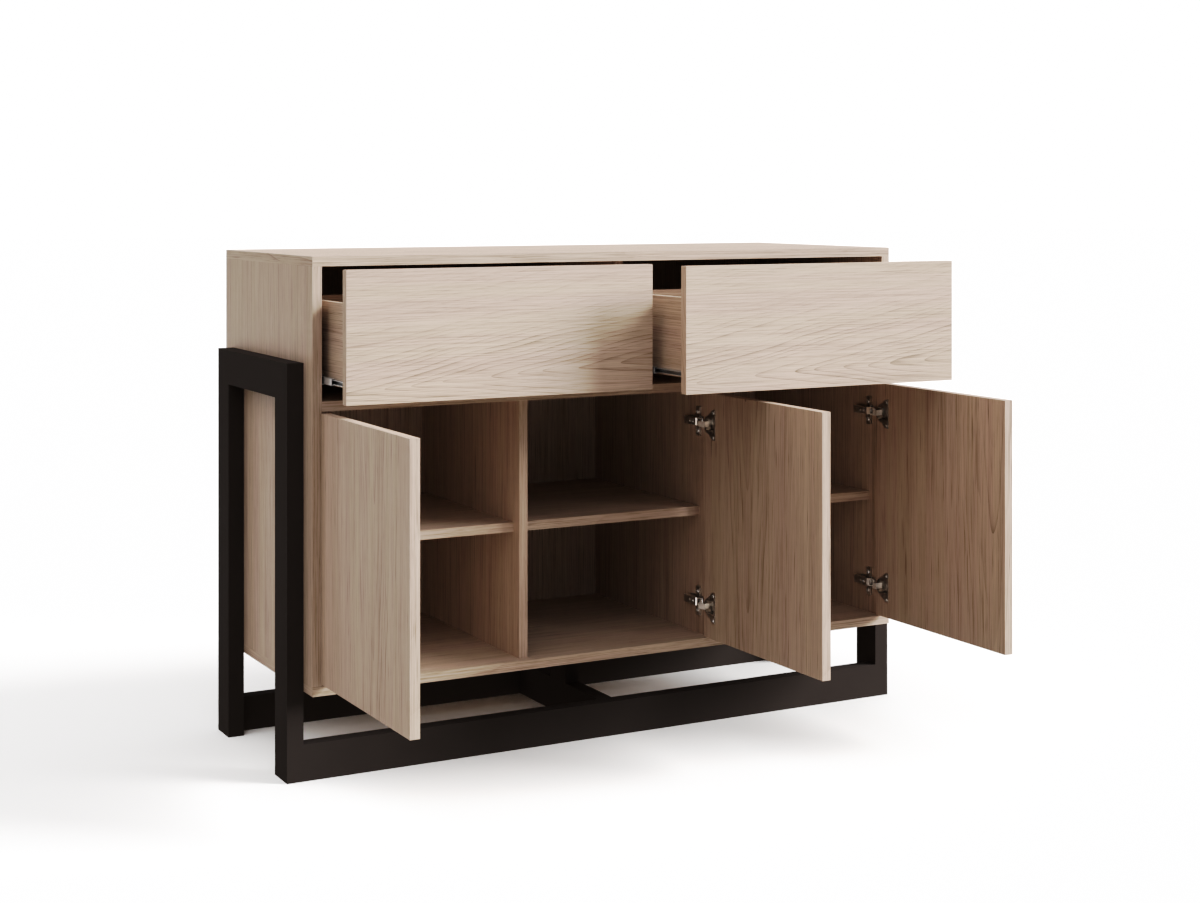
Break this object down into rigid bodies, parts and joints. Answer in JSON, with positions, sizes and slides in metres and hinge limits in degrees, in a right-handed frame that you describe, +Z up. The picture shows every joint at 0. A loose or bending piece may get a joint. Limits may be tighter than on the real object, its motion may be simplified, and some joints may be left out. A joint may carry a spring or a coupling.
{
  "type": "sideboard buffet",
  "caption": "Low oak-effect storage sideboard with drawers above hinged cupboard doors, shelves inside, carried between black rectangular side frames joined by floor rails.",
  "frame": {"origin": "on the floor, at the middle of the frame's footprint, under the centre of the cross rail", "axes": "+X along the front to the viewer's right, +Y to the back, +Z up; the front faces -Y"},
  "size_m": [1.2, 0.8205, 0.855],
  "materials": {
    "oak_board": "light grey-beige oak effect, grain along X",
    "oak_board_upright": "light grey-beige oak effect, grain upright",
    "back_board": "thin fibreboard with oak-effect face",
    "drawer_board": "oak-effect board, grain along Y",
    "drawer_bottom_board": "thin oak-effect fibreboard",
    "black_frame": "matt black coated board",
    "hinge_steel": "nickel plated",
    "slide_steel": "zinc plated"
  },
  "bodies": {
    "cabinet": {"top_panel": "oak_board", "bottom_panel": "oak_board", "drawer_deck": "oak_board", "left_shelf": "oak_board", "middle_shelf": "oak_board", "right_shelf": "oak_board", "left_side_panel": "oak_board_upright", "right_side_panel": "oak_board_upright", "left_partition": "oak_board_upright", "right_partition": "oak_board_upright", "drawer_divider": "oak_board_upright", "back_panel": "back_board", "left_front_leg": "black_frame", "left_rear_leg": "black_frame", "left_top_rail": "black_frame", "right_front_leg": "black_frame", "right_rear_leg": "black_frame", "right_top_rail": "black_frame", "front_rail": "black_frame", "rear_rail": "black_frame", "cross_rail": "black_frame", "centre_post": "black_frame", "left_lower_hinge_arm": "hinge_steel", "left_upper_hinge_arm": "hinge_steel", "middle_lower_hinge_arm": "hinge_steel", "middle_upper_hinge_arm": "hinge_steel", "right_lower_hinge_arm": "hinge_steel", "right_upper_hinge_arm": "hinge_steel"},
    "left_door_body": {"left_door": "oak_board_upright", "left_lower_hinge_cup": "hinge_steel", "left_upper_hinge_cup": "hinge_steel"},
    "left_link_body": {"left_upper_hinge_link": "hinge_steel"},
    "middle_door_body": {"middle_door": "oak_board_upright", "middle_lower_hinge_cup": "hinge_steel", "middle_upper_hinge_cup": "hinge_steel"},
    "middle_link_body": {"middle_upper_hinge_link": "hinge_steel"},
    "right_door_body": {"right_door": "oak_board_upright", "right_lower_hinge_cup": "hinge_steel", "right_upper_hinge_cup": "hinge_steel"},
    "right_link_body": {"right_upper_hinge_link": "hinge_steel"},
    "left_drawer_body": {"left_drawer_front": "oak_board", "left_drawer_inner_side": "drawer_board", "left_drawer_outer_side": "drawer_board", "left_drawer_back": "drawer_board", "left_drawer_bottom": "drawer_bottom_board", "left_inner_drawer_runner": "slide_steel", "left_outer_drawer_runner": "slide_steel"},
    "left_runner_body": {"left_inner_middle_runner": "slide_steel", "left_outer_middle_runner": "slide_steel"},
    "right_drawer_body": {"right_drawer_front": "oak_board", "right_drawer_inner_side": "drawer_board", "right_drawer_outer_side": "drawer_board", "right_drawer_back": "drawer_board", "right_drawer_bottom": "drawer_bottom_board", "right_inner_drawer_runner": "slide_steel", "right_outer_drawer_runner": "slide_steel"},
    "right_runner_body": {"right_inner_middle_runner": "slide_steel", "right_outer_middle_runner": "slide_steel"}
  },
  "joints": [
    {"name": "left_door_hinge", "type": "hinge", "parent": "cabinet", "child": "left_door_body", "pos_m": [-0.55675, -0.22475, 0.38425], "axis": [0, 0, 1], "range_deg": [-15, 90]},
    {"name": "left_link_hinge", "type": "hinge", "parent": "cabinet", "child": "left_link_body", "pos_m": [-0.552, -0.2061, 0.54625], "axis": [0, 0, 1], "range_deg": [-12.05, 69.8]},
    {"name": "middle_door_hinge", "type": "hinge", "parent": "cabinet", "child": "middle_door_body", "pos_m": [0.18225, -0.22875, 0.38425], "axis": [0, 0, 1], "range_deg": [-90, 15]},
    {"name": "middle_link_hinge", "type": "hinge", "parent": "cabinet", "child": "middle_link_body", "pos_m": [0.1735, -0.2036, 0.54625], "axis": [0, 0, 1], "range_deg": [-70.7, 12.2]},
    {"name": "right_door_hinge", "type": "hinge", "parent": "cabinet", "child": "right_door_body", "pos_m": [0.55675, -0.22475, 0.38425], "axis": [0, 0, 1], "range_deg": [-90, 15]},
    {"name": "right_link_hinge", "type": "hinge", "parent": "cabinet", "child": "right_link_body", "pos_m": [0.552, -0.2061, 0.54625], "axis": [0, 0, 1], "range_deg": [-69.8, 12.05]},
    {"name": "left_drawer_slide", "type": "slide", "parent": "cabinet", "child": "left_drawer_body", "axis": [0, -1, 0], "range_m": [-0.104, 0.196]},
    {"name": "left_runner_slide", "type": "slide", "parent": "cabinet", "child": "left_runner_body", "axis": [0, -1, 0], "range_m": [-0.0525, 0.0985]},
    {"name": "right_drawer_slide", "type": "slide", "parent": "cabinet", "child": "right_drawer_body", "axis": [0, -1, 0], "range_m": [-0.21, 0.09]},
    {"name": "right_runner_slide", "type": "slide", "parent": "cabinet", "child": "right_runner_body", "axis": [0, -1, 0], "range_m": [-0.1055, 0.0455]}
  ],
  "couplings": [
    {"joint": "left_link_hinge", "follows": "left_door_hinge", "ratio": 0.77},
    {"joint": "middle_link_hinge", "follows": "middle_door_hinge", "ratio": 0.78},
    {"joint": "right_link_hinge", "follows": "right_door_hinge", "ratio": 0.77},
    {"joint": "left_runner_slide", "follows": "left_drawer_slide", "ratio": 0.5},
    {"joint": "right_runner_slide", "follows": "right_drawer_slide", "ratio": 0.5}
  ]
}
